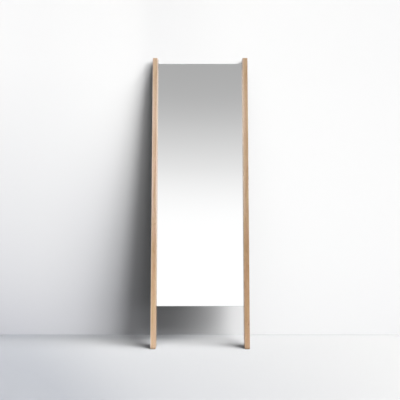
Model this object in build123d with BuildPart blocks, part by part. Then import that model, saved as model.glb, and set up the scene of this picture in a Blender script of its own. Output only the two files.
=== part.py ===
from build123d import *
from math import cos, radians, sin, tan
import os

# Leaning floor mirror. Two solid oak posts stand on the floor and rest their tops
# against a wall. A mirror pane on a backing board is held in grooves between them,
# and three rails behind the board join the posts.
#
# Frame: +X to the viewer's right, +Y towards the wall, +Z up, millimetres.
# The origin is on the floor, under the middle of the whole mirror.

# ---- Overall ----
overall_width = 600.0        # across both posts
post_length = 1800.0         # along the slope of the front face
lean = 6.5                   # degrees from upright

# ---- Posts ----
post_width = 32.0
post_depth = 60.0
post_edge_radius = 2.5
post_end_radius = 1.0
wall_flat_height = 30.0      # upright flat behind the top of each post

# ---- Mirror pane and what backs it, from front to back ----
pane_drop = 27.0             # from the top of the posts' front face to the pane
pane_foot_gap = 248.0        # from the foot of that face to the pane
glass_thickness = 5.0
glass_arris = 1.0
film_thickness = 0.3
film_inset = 2.0
tape_thickness = 1.0
tape_width = 25.0
tape_count = 5
tape_end_gap = 30.0
tape_side_gap = 42.5         # from the pane's edge to the outer tapes
board_thickness = 6.0
board_inset = 2.0            # the board ends this far inside the glass, top and bottom

# ---- Grooves in the posts ----
groove_depth = 8.0
pane_side_gap = 1.0          # from the pane's edge to the bottom of the groove
pane_top_gap = 2.0           # from the pane's edge to the top end of the groove
groove_clearance = 0.2       # in front of the glass and behind the board
setting_block_height = 4.0   # rubber blocks under the pane's corners
setting_block_gap = 0.5      # between a block and the walls of the groove

# ---- Rails behind the board ----
rail_thickness = 18.0
rail_height = 70.0
rail_chamfer = 1.0
rail_end_margin = 12.0       # from the pane's top and bottom edges to the outer rails
rail_back_inset = 0.7        # from the posts' back face to the rails

# ---- Rail joints: two dowels and one cam connector at each end ----
dowel_radius = 4.0
dowel_length = 35.0
dowel_hole_depth = 18.0
dowel_offset = 22.0          # from the middle of the rail's height
dowel_chamfer = 0.8
hole_clearance = 0.1         # radial, for dowels and shanks in their holes
bolt_thread_radius = 3.0
bolt_thread_length = 11.0
bolt_shaft_radius = 3.5
bolt_neck_radius = 2.0
bolt_neck_length = 4.0
bolt_head_radius = 3.5
bolt_head_length = 3.0
bolt_hole_radius = 4.0
cam_radius = 7.5
cam_floor_gap = 1.0          # under the cam in its bore
cam_bore_clearance = 0.5     # the bore goes this far below the bolt hole
cam_setback = 24.0           # from the rail's end to the cam's axis
cam_slot_clearance = 0.4
cam_cross_length = 7.0
cam_cross_width = 1.4
cam_cross_depth = 1.8
cam_chamfer = 0.4
hole_end_gap = 1.0           # from a bolt's or screw's tip to the end of its hole

# ---- Countersunk screws, with 90 degree heads ----
small_shank_radius = 1.5
small_head_radius = 2.8
board_shank_radius = 1.75
board_head_radius = 3.4
board_screw_length = 16.0
screw_tip_length = 2.0
driver_cross_width = 0.8
driver_cross_share = 1.2     # the cross is this many shank diameters long
driver_cross_depth = 0.9

# ---- Foot pads ----
pad_thickness = 3.0
pad_inset = 1.5
pad_corner_radius = 3.0
pad_screw_spacing = 34.0
pad_screw_length = 15.0
screw_recess = 0.6           # screw heads sit this deep in the pads and bumpers

# ---- Wall bumpers ----
bumper_side_gap = 5.0        # from the post's sides to the bumper
bumper_end_gap = 5.0         # from the wall flat's ends to the bumper
bumper_thickness = 3.0
bumper_corner_radius = 4.0
bumper_screw_length = 14.0

# ---- Keyhole plates on the back of the top rail ----
keyhole_from_cam = 34.0      # from the cam's axis to the keyhole
plate_length = 45.0
plate_width = 16.0
plate_thickness = 1.5
plate_clearance = 0.2        # round the plate in its recess
plate_screw_offset = 17.0
plate_screw_length = 12.0
keyhole_entry_radius = 4.5
keyhole_slot_radius = 2.25
keyhole_travel = 9.0
head_pocket_depth = 8.0      # room behind the plate for the head of a wall screw
head_pocket_clearance = 0.8

# ---- Worked out from the sizes above ----
slope_cos = cos(radians(lean))
slope_sin = sin(radians(lean))
slope_tan = tan(radians(lean))

inner_half = overall_width / 2 - post_width
post_centre_x = overall_width / 2 - post_width / 2
post_run = post_depth / slope_cos                  # the post's depth along the floor
post_rise = post_length * slope_cos
wall_flat_cut = wall_flat_height * slope_tan
overall_depth = post_length * slope_sin + post_run - wall_flat_cut + bumper_thickness
foot_front_y = -overall_depth / 2
foot_centre_y = foot_front_y + post_run / 2
top_z = pad_thickness + post_rise
wall_flat_y = overall_depth / 2 - bumper_thickness

cam_bore_depth = rail_thickness / 2 + bolt_hole_radius + cam_bore_clearance
cam_height = cam_bore_depth - cam_floor_gap

# Depths behind the posts' front face
rail_back = post_depth - rail_back_inset
rail_front = rail_back - rail_thickness
rail_middle = (rail_front + rail_back) / 2
board_front = rail_front - board_thickness
tape_front = board_front - tape_thickness
film_front = tape_front - film_thickness
pane_recess = film_front - glass_thickness

pane_top = post_length - pane_drop
pane_bottom = pane_foot_gap
pane_length = pane_top - pane_bottom
pane_middle = (pane_top + pane_bottom) / 2
pane_width = 2 * (inner_half + groove_depth - pane_side_gap)
tape_pitch = (pane_width - 2 * tape_side_gap - tape_width) / (tape_count - 1)
bumper_width = post_width - 2 * bumper_side_gap
bumper_height = wall_flat_height - 2 * bumper_end_gap
cam_x = inner_half - cam_setback
keyhole_x = cam_x - keyhole_from_cam
rail_places = {
    "top_rail": pane_top - rail_end_margin - rail_height / 2,
    "middle_rail": pane_middle,
    "bottom_rail": pane_bottom + rail_end_margin + rail_height / 2,
}
sides = {"left": -1, "right": 1}
both_sides = tuple(sides.values())

# The posts' front face: x across, y up the slope, z towards the viewer.
front = Plane(
    origin=(0, foot_front_y, pad_thickness),
    x_dir=(1, 0, 0),
    z_dir=(0, -slope_cos, slope_sin),
)
slope_axis = Axis((0, 0, 0), (0, slope_sin, slope_cos))


def layer(depth):
    """The plane that lies this far behind the posts' front face."""
    return front.offset(-depth)


def inner_face(side):
    """A post's inner face: x up the slope, y to the back times the side, z to the middle."""
    return Plane(
        origin=front.from_local_coords((side * inner_half, 0, 0)),
        x_dir=slope_axis.direction,
        z_dir=(-side, 0, 0),
    )


def dowel_points(side, places):
    """Dowel centres on the inner face, two for each rail."""
    return [(s + d, side * rail_middle) for s in places for d in (-dowel_offset, dowel_offset)]


def bolt_points(side, places):
    """Cam bolt centres on the inner face, one for each rail."""
    return [(s, side * rail_middle) for s in places]


def board_screw_points(places):
    """Board screw centres in any layer, between the tapes along each rail."""
    first = tape_pitch * (1 - tape_count / 2)
    return [(first + i * tape_pitch, s) for s in places for i in range(tape_count - 1)]


def foot_plane(side, z):
    """A level plane over a post's foot."""
    return Plane(origin=(side * post_centre_x, foot_centre_y, z))


def sole_plane(side):
    """The plane of the screw heads under a foot, facing the floor."""
    return Plane(
        origin=(side * post_centre_x, foot_centre_y, screw_recess),
        x_dir=(1, 0, 0),
        z_dir=(0, 0, -1),
    )


def wall_plane(side, y):
    """An upright plane behind a post's wall flat, facing the wall."""
    z = top_z - wall_flat_height / 2
    return Plane(origin=(side * post_centre_x, y, z), x_dir=(-1, 0, 0), z_dir=(0, 1, 0))


def back_plane(depth):
    """The layer at this depth seen from behind, with y up the slope."""
    return Plane(
        origin=front.from_local_coords((0, 0, -depth)),
        x_dir=(-1, 0, 0),
        z_dir=(0, slope_cos, -slope_sin),
    )


def countersunk_holes(shank_radius, head_radius):
    """Cuts a hole through the part at each current location, for a screw let in flush."""
    CounterSinkHole(
        radius=shank_radius + hole_clearance,
        counter_sink_radius=head_radius + hole_clearance,
        counter_sink_angle=90,
    )


def countersunk_screws(shank_radius, head_radius, length):
    """Adds a screw at each current location, its head flush with z = 0 and its tip below."""
    head_height = head_radius - shank_radius
    down = (Align.CENTER, Align.CENTER, Align.MAX)
    Cone(shank_radius, head_radius, head_height, align=down)
    with Locations((0, 0, -head_height)):
        Cylinder(shank_radius, length - head_height - screw_tip_length, align=down)
    with Locations((0, 0, screw_tip_length - length)):
        Cone(0, shank_radius, screw_tip_length, align=down)
    for turn in (0, 90):
        Box(
            2 * shank_radius * driver_cross_share,
            driver_cross_width,
            driver_cross_depth,
            rotation=(0, 0, turn),
            align=down,
            mode=Mode.SUBTRACT,
        )


def plate_screw_points(side):
    """The two screw centres of a keyhole plate, seen from behind."""
    x = -side * keyhole_x
    return [(x, keyhole_s - plate_screw_offset), (x, keyhole_s + plate_screw_offset)]


def save(part, name):
    """Labels a finished piece and writes its file."""
    part.label = name
    export_step(part, f"parts/{name}.step")


os.makedirs("parts", exist_ok=True)
all_places = tuple(rail_places.values())
pad_screw_points = [(0, -pad_screw_spacing / 2), (0, pad_screw_spacing / 2)]
keyhole_s = rail_places["top_rail"]
keyhole_points = [(side * keyhole_x, keyhole_s) for side in both_sides]

# ---- Posts ----
foot_back_y = foot_front_y + post_run
wall_flat_z = top_z - wall_flat_height
side_outline = [
    (foot_front_y, pad_thickness),
    (foot_back_y, pad_thickness),
    (wall_flat_y, wall_flat_z),
    (wall_flat_y, top_z),
    (foot_front_y + post_rise * slope_tan, top_z),
]
groove_width = rail_front - pane_recess + 2 * groove_clearance
groove_bottom = pane_bottom - setting_block_height
groove_top = pane_top + pane_top_gap

for side_name, side in sides.items():
    with BuildPart() as post:
        with BuildSketch(Plane.YZ.offset(side * post_centre_x)):
            Polygon(*side_outline, align=None)
        extrude(amount=post_width / 2, both=True)
        long_edges = post.edges().filter_by(slope_axis) + post.edges().filter_by(Axis.Z)
        fillet(long_edges, post_edge_radius)
        fillet(post.faces().filter_by(Axis.Z).edges(), post_end_radius)
        # Groove for the edge of the pane and its board
        with BuildSketch(layer(pane_recess - groove_clearance)):
            with Locations((side * (inner_half + groove_depth / 2), (groove_top + groove_bottom) / 2)):
                Rectangle(groove_depth, groove_top - groove_bottom)
        extrude(amount=-groove_width, mode=Mode.SUBTRACT)
        # Dowel and cam bolt holes
        with BuildSketch(inner_face(side)):
            with Locations(*dowel_points(side, all_places)):
                Circle(dowel_radius + hole_clearance)
        extrude(amount=-dowel_hole_depth, mode=Mode.SUBTRACT)
        with BuildSketch(inner_face(side)):
            with Locations(*bolt_points(side, all_places)):
                Circle(bolt_thread_radius + hole_clearance)
        extrude(amount=-bolt_thread_length - hole_end_gap, mode=Mode.SUBTRACT)
        # Pilot holes for the foot pad's screws and the bumper's screw
        with BuildSketch(foot_plane(side, pad_thickness)):
            with Locations(*pad_screw_points):
                Circle(small_shank_radius + hole_clearance)
        extrude(amount=pad_screw_length, mode=Mode.SUBTRACT)
        with BuildSketch(wall_plane(side, wall_flat_y)):
            Circle(small_shank_radius + hole_clearance)
        extrude(amount=-bumper_screw_length, mode=Mode.SUBTRACT)
    save(post.part, f"{side_name}_post")

# ---- Mirror glass, its safety film and the tape that holds it ----
with BuildPart() as mirror_glass:
    with BuildSketch(layer(pane_recess)):
        with Locations((0, pane_middle)):
            Rectangle(pane_width, pane_length)
    extrude(amount=-glass_thickness)
    glass_face = mirror_glass.faces().sort_by(Axis(front.origin, front.z_dir))[-1]
    chamfer(glass_face.edges(), glass_arris)
save(mirror_glass.part, "mirror_glass")

with BuildPart() as safety_film:
    with BuildSketch(layer(film_front)):
        with Locations((0, pane_middle)):
            Rectangle(pane_width - 2 * film_inset, pane_length - 2 * film_inset)
    extrude(amount=-film_thickness)
save(safety_film.part, "safety_film")

with BuildPart() as mounting_tapes:
    with BuildSketch(layer(tape_front)):
        with Locations((0, pane_middle)):
            with GridLocations(tape_pitch, 0, tape_count, 1):
                Rectangle(tape_width, pane_length - 2 * tape_end_gap)
    extrude(amount=-tape_thickness)
save(mounting_tapes.part, "mounting_tapes")

# ---- Backing board ----
with BuildPart() as backing_board:
    with BuildSketch(layer(board_front)):
        with Locations((0, pane_middle)):
            Rectangle(pane_width, pane_length - 2 * board_inset)
    extrude(amount=-board_thickness)
    with Locations(layer(board_front)):
        with Locations(*board_screw_points(all_places)):
            countersunk_holes(board_shank_radius, board_head_radius)
save(backing_board.part, "backing_board")

# ---- Rubber blocks in the foot of each groove, under the glass ----
block_width = groove_depth - 2 * setting_block_gap
block_thickness = groove_width - 2 * setting_block_gap
block_front = pane_recess - groove_clearance + setting_block_gap
block_x = inner_half + groove_depth / 2
block_s = groove_bottom + setting_block_height / 2

with BuildPart() as setting_blocks:
    with BuildSketch(layer(block_front)):
        with Locations((-block_x, block_s), (block_x, block_s)):
            Rectangle(block_width, setting_block_height)
    extrude(amount=-block_thickness)
save(setting_blocks.part, "setting_blocks")

# ---- Rails ----
recess_outline = (plate_length + 2 * plate_clearance, plate_width + 2 * plate_clearance)
pocket_width = 2 * (keyhole_entry_radius + head_pocket_clearance)

for rail_name, place in rail_places.items():
    with BuildPart() as rail:
        with BuildSketch(layer(rail_front)):
            with Locations((0, place)):
                Rectangle(2 * inner_half, rail_height)
        extrude(amount=-rail_thickness)
        chamfer(rail.edges().filter_by(Axis.X), rail_chamfer)
        # Dowel and cam bolt holes in each end, and the cam's bore from the back
        for side in both_sides:
            with BuildSketch(inner_face(side)):
                with Locations(*dowel_points(side, (place,))):
                    Circle(dowel_radius + hole_clearance)
            extrude(amount=dowel_hole_depth, mode=Mode.SUBTRACT)
            with BuildSketch(inner_face(side)):
                with Locations(*bolt_points(side, (place,))):
                    Circle(bolt_hole_radius)
            extrude(amount=cam_setback, mode=Mode.SUBTRACT)
        with BuildSketch(layer(rail_back)):
            with Locations((-cam_x, place), (cam_x, place)):
                Circle(cam_radius + hole_clearance)
        extrude(amount=cam_bore_depth, mode=Mode.SUBTRACT)
        # Pilot holes for the board screws
        with BuildSketch(layer(rail_front)):
            with Locations(*board_screw_points((place,))):
                Circle(board_shank_radius + hole_clearance)
        extrude(amount=board_thickness - board_screw_length - hole_end_gap, mode=Mode.SUBTRACT)
        # The top rail carries the keyhole plates
        if rail_name == "top_rail":
            with BuildSketch(layer(rail_back)):
                with Locations(*keyhole_points):
                    SlotOverall(*recess_outline, rotation=90)
            extrude(amount=plate_thickness, mode=Mode.SUBTRACT)
            with BuildSketch(layer(rail_back)):
                with Locations(*keyhole_points):
                    SlotOverall(keyhole_travel + pocket_width, pocket_width, rotation=90)
            extrude(amount=head_pocket_depth, mode=Mode.SUBTRACT)
            with BuildSketch(layer(rail_back)):
                with Locations(*plate_screw_points(-1), *plate_screw_points(1)):
                    Circle(small_shank_radius + hole_clearance)
            extrude(amount=plate_screw_length + hole_end_gap, mode=Mode.SUBTRACT)
    save(rail.part, rail_name)

# ---- Dowels ----
with BuildPart() as rail_dowels:
    for side in both_sides:
        with BuildSketch(inner_face(side)):
            with Locations(*dowel_points(side, all_places)):
                Circle(dowel_radius)
        extrude(amount=dowel_length / 2, both=True)
    chamfer(rail_dowels.edges().filter_by(GeomType.CIRCLE), dowel_chamfer)
save(rail_dowels.part, "rail_dowels")

# ---- Cam bolts: thread in the post, shaft and head in the rail ----
bolt_head_end = cam_setback + bolt_head_length / 2
bolt_shaft_length = bolt_head_end - bolt_head_length - bolt_neck_length
bolt_steps = (
    (0.0, -bolt_thread_length, bolt_thread_radius),
    (0.0, bolt_shaft_length, bolt_shaft_radius),
    (bolt_shaft_length, bolt_neck_length, bolt_neck_radius),
    (bolt_shaft_length + bolt_neck_length, bolt_head_length, bolt_head_radius),
)

with BuildPart() as cam_bolts:
    for side in both_sides:
        for start, length, radius in bolt_steps:
            with BuildSketch(inner_face(side).offset(start)):
                with Locations(*bolt_points(side, all_places)):
                    Circle(radius)
            extrude(amount=length)
save(cam_bolts.part, "cam_bolts")

# ---- Cam locks, turned from the back with a cross-tip driver ----
with BuildPart() as cam_locks:
    for side in both_sides:
        with BuildSketch(layer(rail_back)):
            with Locations(*[(side * cam_x, s) for s in all_places]):
                Circle(cam_radius)
        extrude(amount=cam_height)
    cam_backs = cam_locks.faces().group_by(Axis(front.origin, front.z_dir))[0]
    chamfer(cam_backs.edges(), cam_chamfer)
    for side in both_sides:
        # Slot for the bolt's neck and head
        with BuildSketch(inner_face(side).offset(cam_setback + bolt_head_length)):
            with Locations(*bolt_points(side, all_places)):
                Circle(bolt_head_radius + cam_slot_clearance)
        extrude(amount=-(bolt_head_length + cam_radius), mode=Mode.SUBTRACT)
    with BuildSketch(layer(rail_back)):
        with Locations(*[(side * cam_x, s) for side in both_sides for s in all_places]):
            Rectangle(cam_cross_length, cam_cross_width)
            Rectangle(cam_cross_width, cam_cross_length)
    extrude(amount=cam_cross_depth, mode=Mode.SUBTRACT)
save(cam_locks.part, "cam_locks")

# ---- Board screws, driven from the front before the glass goes on ----
with BuildPart() as board_screws:
    with Locations(layer(board_front)):
        with Locations(*board_screw_points(all_places)):
            countersunk_screws(board_shank_radius, board_head_radius, board_screw_length)
save(board_screws.part, "board_screws")

# ---- Foot pads ----
for side_name, side in sides.items():
    with BuildPart() as foot_pad:
        with BuildSketch(foot_plane(side, 0)):
            RectangleRounded(post_width - 2 * pad_inset, post_run - 2 * pad_inset, pad_corner_radius)
        extrude(amount=pad_thickness)
        with Locations(sole_plane(side)):
            with Locations(*pad_screw_points):
                countersunk_holes(small_shank_radius, small_head_radius)
    save(foot_pad.part, f"{side_name}_foot_pad")

with BuildPart() as foot_pad_screws:
    for side in both_sides:
        with Locations(sole_plane(side)):
            with Locations(*pad_screw_points):
                countersunk_screws(small_shank_radius, small_head_radius, pad_screw_length)
save(foot_pad_screws.part, "foot_pad_screws")

# ---- Bumpers between the post tops and the wall ----
for side_name, side in sides.items():
    with BuildPart() as bumper:
        with BuildSketch(wall_plane(side, wall_flat_y)):
            RectangleRounded(bumper_width, bumper_height, bumper_corner_radius)
        extrude(amount=bumper_thickness)
        with Locations(wall_plane(side, overall_depth / 2 - screw_recess)):
            countersunk_holes(small_shank_radius, small_head_radius)
    save(bumper.part, f"{side_name}_wall_bumper")

with BuildPart() as bumper_screws:
    for side in both_sides:
        with Locations(wall_plane(side, overall_depth / 2 - screw_recess)):
            countersunk_screws(small_shank_radius, small_head_radius, bumper_screw_length)
save(bumper_screws.part, "bumper_screws")

# ---- Keyhole plates, let into the back of the top rail ----
for side_name, side in sides.items():
    with BuildPart() as keyhole_plate:
        with BuildSketch(layer(rail_back)):
            with Locations((side * keyhole_x, keyhole_s)):
                SlotOverall(plate_length, plate_width, rotation=90)
                with Locations((0, -keyhole_travel / 2)):
                    Circle(keyhole_entry_radius, mode=Mode.SUBTRACT)
                with Locations((0, keyhole_travel / 2)):
                    Circle(keyhole_slot_radius, mode=Mode.SUBTRACT)
                Rectangle(2 * keyhole_slot_radius, keyhole_travel, mode=Mode.SUBTRACT)
        extrude(amount=plate_thickness)
        with Locations(back_plane(rail_back)):
            with Locations(*plate_screw_points(side)):
                countersunk_holes(small_shank_radius, small_head_radius)
    save(keyhole_plate.part, f"{side_name}_keyhole_plate")

with BuildPart() as keyhole_screws:
    for side in both_sides:
        with Locations(back_plane(rail_back)):
            with Locations(*plate_screw_points(side)):
                countersunk_screws(small_shank_radius, small_head_radius, plate_screw_length)
save(keyhole_screws.part, "keyhole_screws")
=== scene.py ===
"""Leaning floor mirror: two oak posts, three oak rails and a tall silvered pane.

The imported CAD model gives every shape. This file gives each piece its finish,
sets the mirror against a wall on a pale floor, and lights it.
"""

import math

import bpy
from bpy.props import FloatProperty, FloatVectorProperty, PointerProperty
from mathutils import Euler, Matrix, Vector


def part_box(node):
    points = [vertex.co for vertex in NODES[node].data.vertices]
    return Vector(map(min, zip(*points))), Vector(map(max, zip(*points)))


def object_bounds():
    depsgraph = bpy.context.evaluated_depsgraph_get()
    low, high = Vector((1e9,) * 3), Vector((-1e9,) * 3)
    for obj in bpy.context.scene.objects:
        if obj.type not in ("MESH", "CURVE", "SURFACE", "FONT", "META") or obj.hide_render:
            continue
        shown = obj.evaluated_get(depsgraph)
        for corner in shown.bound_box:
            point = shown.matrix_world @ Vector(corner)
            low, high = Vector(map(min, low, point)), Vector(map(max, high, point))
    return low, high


bl_info = {
    "name": "Leaning Floor Mirror",
    "version": (1, 0, 0),
    "blender": (4, 5, 0),
    "location": "3D View > Sidebar > Floor Mirror",
    "description": "Finishes a leaning oak floor mirror and sets it up in a pale room",
    "category": "Object",
}

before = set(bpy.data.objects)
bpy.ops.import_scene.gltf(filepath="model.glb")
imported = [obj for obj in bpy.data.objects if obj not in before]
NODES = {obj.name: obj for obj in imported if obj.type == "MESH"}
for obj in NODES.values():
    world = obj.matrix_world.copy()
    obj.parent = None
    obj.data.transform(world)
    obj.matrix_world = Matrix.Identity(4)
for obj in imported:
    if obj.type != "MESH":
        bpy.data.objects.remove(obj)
CAD_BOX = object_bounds()

LEAN = math.radians(6.5)  # the posts lean back by this much
UP_THE_POST = Euler((LEAN, 0.0, 0.0))  # turns the room's axes to the post's
ALONG_THE_RAIL = Euler((LEAN, math.pi / 2, 0.0))
OUT_OF_THE_PANE = (0.0, -math.cos(LEAN), math.sin(LEAN))

POSTS = ("left_post", "right_post")
RAILS = ("top_rail", "middle_rail", "bottom_rail")
SCREWS = (
    "cam_bolts",
    "board_screws",
    "foot_pad_screws",
    "bumper_screws",
    "keyhole_screws",
)
PLATES = ("left_keyhole_plate", "right_keyhole_plate")
FOOT_PADS = ("left_foot_pad", "right_foot_pad")
BUMPERS = ("left_wall_bumper", "right_wall_bumper")


# ---------------------------------------------------------------- node recipes


def set_stops(ramp, easing, stops):
    """Gives a colour ramp its (place, colour) stops."""
    ramp.interpolation = easing
    while len(ramp.elements) < len(stops):
        ramp.elements.new(1.0)
    for element, (place, colour) in zip(ramp.elements, stops):
        element.position = place
        element.color = (*colour, 1.0)


class Recipe:
    """A material being mixed: each call adds one node and gives its output."""

    def __init__(self, name):
        self.material = bpy.data.materials.new(name)
        self.material.use_nodes = True
        self.tree = self.material.node_tree
        self.tree.nodes.clear()
        self.out = self.tree.nodes.new("ShaderNodeOutputMaterial")
        self.place = self.node("ShaderNodeTexCoord")

    def node(self, kind, inputs=None, **settings):
        node = self.tree.nodes.new(kind)
        for key, value in settings.items():
            setattr(node, key, value)
        for key, value in (inputs or {}).items():
            self.feed(node.inputs[key], value)
        return node

    def feed(self, socket, value):
        if isinstance(value, bpy.types.NodeSocket):
            self.tree.links.new(value, socket)
        elif socket.type == "RGBA" and len(value) == 3:
            socket.default_value = (*value, 1.0)
        else:
            socket.default_value = value

    @property
    def where(self):
        return self.place.outputs["Object"]

    @property
    def facing(self):
        return self.place.outputs["Normal"]

    def maths(self, operation, *values):
        node = self.node("ShaderNodeMath", operation=operation)
        for socket, value in zip(node.inputs, values):
            self.feed(socket, value)
        return node.outputs[0]

    def clamped(self, value, low, high):
        return self.maths("MINIMUM", self.maths("MAXIMUM", value, low), high)

    def weighted(self, *parts, start=0.0):
        """Adds up (value, share) pairs, each value times its share."""
        total = start
        for value, share in parts:
            total = self.maths("MULTIPLY_ADD", value, share, total)
        return total

    def vector(self, operation, *values):
        node = self.node("ShaderNodeVectorMath", operation=operation)
        for socket, value in zip(node.inputs, values):
            self.feed(socket, value)
        name = "Value" if operation in ("LENGTH", "DOT_PRODUCT") else "Vector"
        return node.outputs[name]

    def scaled(self, vector, factor):
        node = self.node(
            "ShaderNodeVectorMath",
            {"Vector": vector, "Scale": factor},
            operation="SCALE",
        )
        return node.outputs["Vector"]

    def split(self, vector):
        node = self.node("ShaderNodeSeparateXYZ", {"Vector": vector})
        return node.outputs["X"], node.outputs["Y"], node.outputs["Z"]

    def turned(self, turn, shift):
        """The piece's own coordinates, with its middle at the origin."""
        node = self.node(
            "ShaderNodeMapping",
            {"Vector": self.where, "Location": shift, "Rotation": turn},
        )
        return node.outputs["Vector"]

    def noise(self, vector, scale=1.0, detail=2.0, rough=0.5, stretch=None, out=0):
        if stretch is not None:
            vector = self.vector("MULTIPLY", vector, stretch)
        node = self.node(
            "ShaderNodeTexNoise",
            {"Vector": vector, "Scale": scale, "Detail": detail, "Roughness": rough},
        )
        return node.outputs[out]

    def drift(self, vector, stretch, amount, detail):
        """A random shift of up to about half the amount each way."""
        wander = self.noise(vector, detail=detail, stretch=stretch, out=1)
        return self.scaled(self.vector("SUBTRACT", wander, (0.5, 0.5, 0.5)), amount)

    def cells(self, vector, stretch):
        vector = self.vector("MULTIPLY", vector, stretch)
        node = self.node("ShaderNodeTexVoronoi", {"Vector": vector, "Scale": 1.0})
        return node.outputs["Distance"]

    def spread(self, value, low, high, to_low=0.0, to_high=1.0, smooth=True):
        """Stretches low..high of a value over to_low..to_high, and stops there."""
        node = self.node(
            "ShaderNodeMapRange",
            {
                "Value": value,
                "From Min": low,
                "From Max": high,
                "To Min": to_low,
                "To Max": to_high,
            },
            interpolation_type="SMOOTHSTEP" if smooth else "LINEAR",
        )
        return node.outputs[0]

    def patches(self, vector, stretch, low, high, detail=1.0, rough=0.5):
        """Noise that is 0 below low, 1 above high and soft between."""
        noise = self.noise(vector, detail=detail, rough=rough, stretch=stretch)
        return self.spread(noise, low, high)

    def ramp(self, factor, stops):
        node = self.node("ShaderNodeValToRGB", {"Fac": factor})
        set_stops(node.color_ramp, "EASE", stops)
        return node.outputs["Color"]

    def mix(self, factor, below, above, blend="MIX"):
        node = self.node("ShaderNodeMix", data_type="RGBA", blend_type=blend)
        self.feed(node.inputs[0], factor)
        self.feed(node.inputs[6], below)
        self.feed(node.inputs[7], above)
        return node.outputs[2]

    def stained(self, colour, mask, share, stain):
        """A colour with some of a stain mixed in where the mask is 1."""
        return self.mix(self.maths("MULTIPLY", mask, share), colour, tuple(stain))

    def lighter(self, colour, factor):
        """A colour with each channel multiplied by the same factor."""
        grey = self.node("ShaderNodeCombineColor")
        for name in ("Red", "Green", "Blue"):
            self.feed(grey.inputs[name], factor)
        return self.mix(1.0, colour, grey.outputs[0], blend="MULTIPLY")

    def bump(self, height, depth, strength):
        inputs = {"Height": height, "Distance": depth, "Strength": strength}
        return self.node("ShaderNodeBump", inputs).outputs[0]

    def finish(self, colour, roughness, normal=None, **sockets):
        """Ends the recipe in one Principled shader."""
        inputs = {"Base Color": colour, "Roughness": roughness}
        for key, value in sockets.items():
            inputs[key.replace("_", " ")] = value
        if normal is not None:
            inputs["Normal"] = normal
        shader = self.node("ShaderNodeBsdfPrincipled", inputs)
        self.tree.links.new(shader.outputs[0], self.out.inputs["Surface"])
        return self.material


def paint(node, material):
    """Gives a CAD node its finish, in place of the plain one it came with."""
    NODES[node].visible_diffuse = False
    for slot in NODES[node].material_slots:
        slot.link = "OBJECT"
        slot.material = material


class Plank:
    """A straight length of oak in its own coordinates, read from its CAD node."""

    def __init__(self, node, turn):
        rotation = turn.to_matrix()
        corners = [rotation @ v.co for v in NODES[node].data.vertices]
        low = Vector([min(c[i] for c in corners) for i in range(3)])
        high = Vector([max(c[i] for c in corners) for i in range(3)])
        self.turn = turn
        self.shift = -(low + high) / 2
        self.half = (high - low) / 2
        self.along = rotation.transposed() @ Vector((0.0, 0.0, 1.0))


# --------------------------------------------------------------------- settings


def colour_setting(name, description, default):
    return FloatVectorProperty(
        name=name,
        description=description,
        subtype="COLOR",
        size=3,
        min=0.0,
        max=1.0,
        default=default,
    )


class OakSettings(bpy.types.PropertyGroup):
    pale: colour_setting("Pale wood", "Late wood between the pores", (0.735, 0.525, 0.380))
    honey: colour_setting("Honey wood", "Yellower streaks in the late wood", (0.700, 0.515, 0.310))
    warm: colour_setting("Warm wood", "Early wood along the rings", (0.515, 0.315, 0.180))
    pore: colour_setting("Pores", "Open pores and end grain", (0.270, 0.150, 0.082))
    rosy: colour_setting("Rosy wood", "Pinker streaks in the late wood", (0.690, 0.440, 0.335))
    # Colour of the painted highlight along the posts' edges and inner faces, a creamy sapwood
    # colour.
    sap_coloured_highlight: colour_setting("Sapwood", "Creamy wood from under the bark", (0.860, 0.705, 0.560))
    # Used for ray fleck, and for the pale edges, which are partly wear and partly painted
    # highlight.
    edge: colour_setting("Eased edges", "Wood rubbed pale at the edges", (0.800, 0.610, 0.455))
    ring: FloatProperty(
        name="Ring width",
        description="Distance between two growth rings",
        default=0.0023,
        min=0.0008,
        max=0.008,
        unit="LENGTH",
    )
    gloss: FloatProperty(
        name="Roughness",
        description="Roughness of the oiled surface",
        default=0.28,
        min=0.2,
        max=0.9,
    )


class PaneSettings(bpy.types.PropertyGroup):
    silver: colour_setting("Silver", "Reflection of the silvered face", (0.965, 0.967, 0.968))
    rim: colour_setting("Glass edge", "Green tint seen through the edge", (0.240, 0.420, 0.350))
    backing: colour_setting("Backing paint", "Paint over the silver", (0.270, 0.285, 0.300))
    film: colour_setting("Safety film", "Woven film behind the pane", (0.600, 0.610, 0.615))
    board: colour_setting("Backing board", "Pressed fibreboard", (0.320, 0.215, 0.135))


class FittingSettings(bpy.types.PropertyGroup):
    zinc: colour_setting("Zinc plate", "Screws, bolts and hanging plates", (0.640, 0.650, 0.660))
    cast: colour_setting("Cast zinc", "Cam locks", (0.520, 0.525, 0.530))
    dowel: colour_setting("Birch", "Rail dowels", (0.700, 0.540, 0.370))
    rubber: colour_setting("Pad rubber", "Foot pads and wall bumpers", (0.085, 0.060, 0.045))
    block: colour_setting("Block rubber", "Setting blocks under the pane", (0.035, 0.036, 0.038))
    tape: colour_setting("Foam tape", "Mounting tapes behind the pane", (0.780, 0.780, 0.760))


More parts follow.
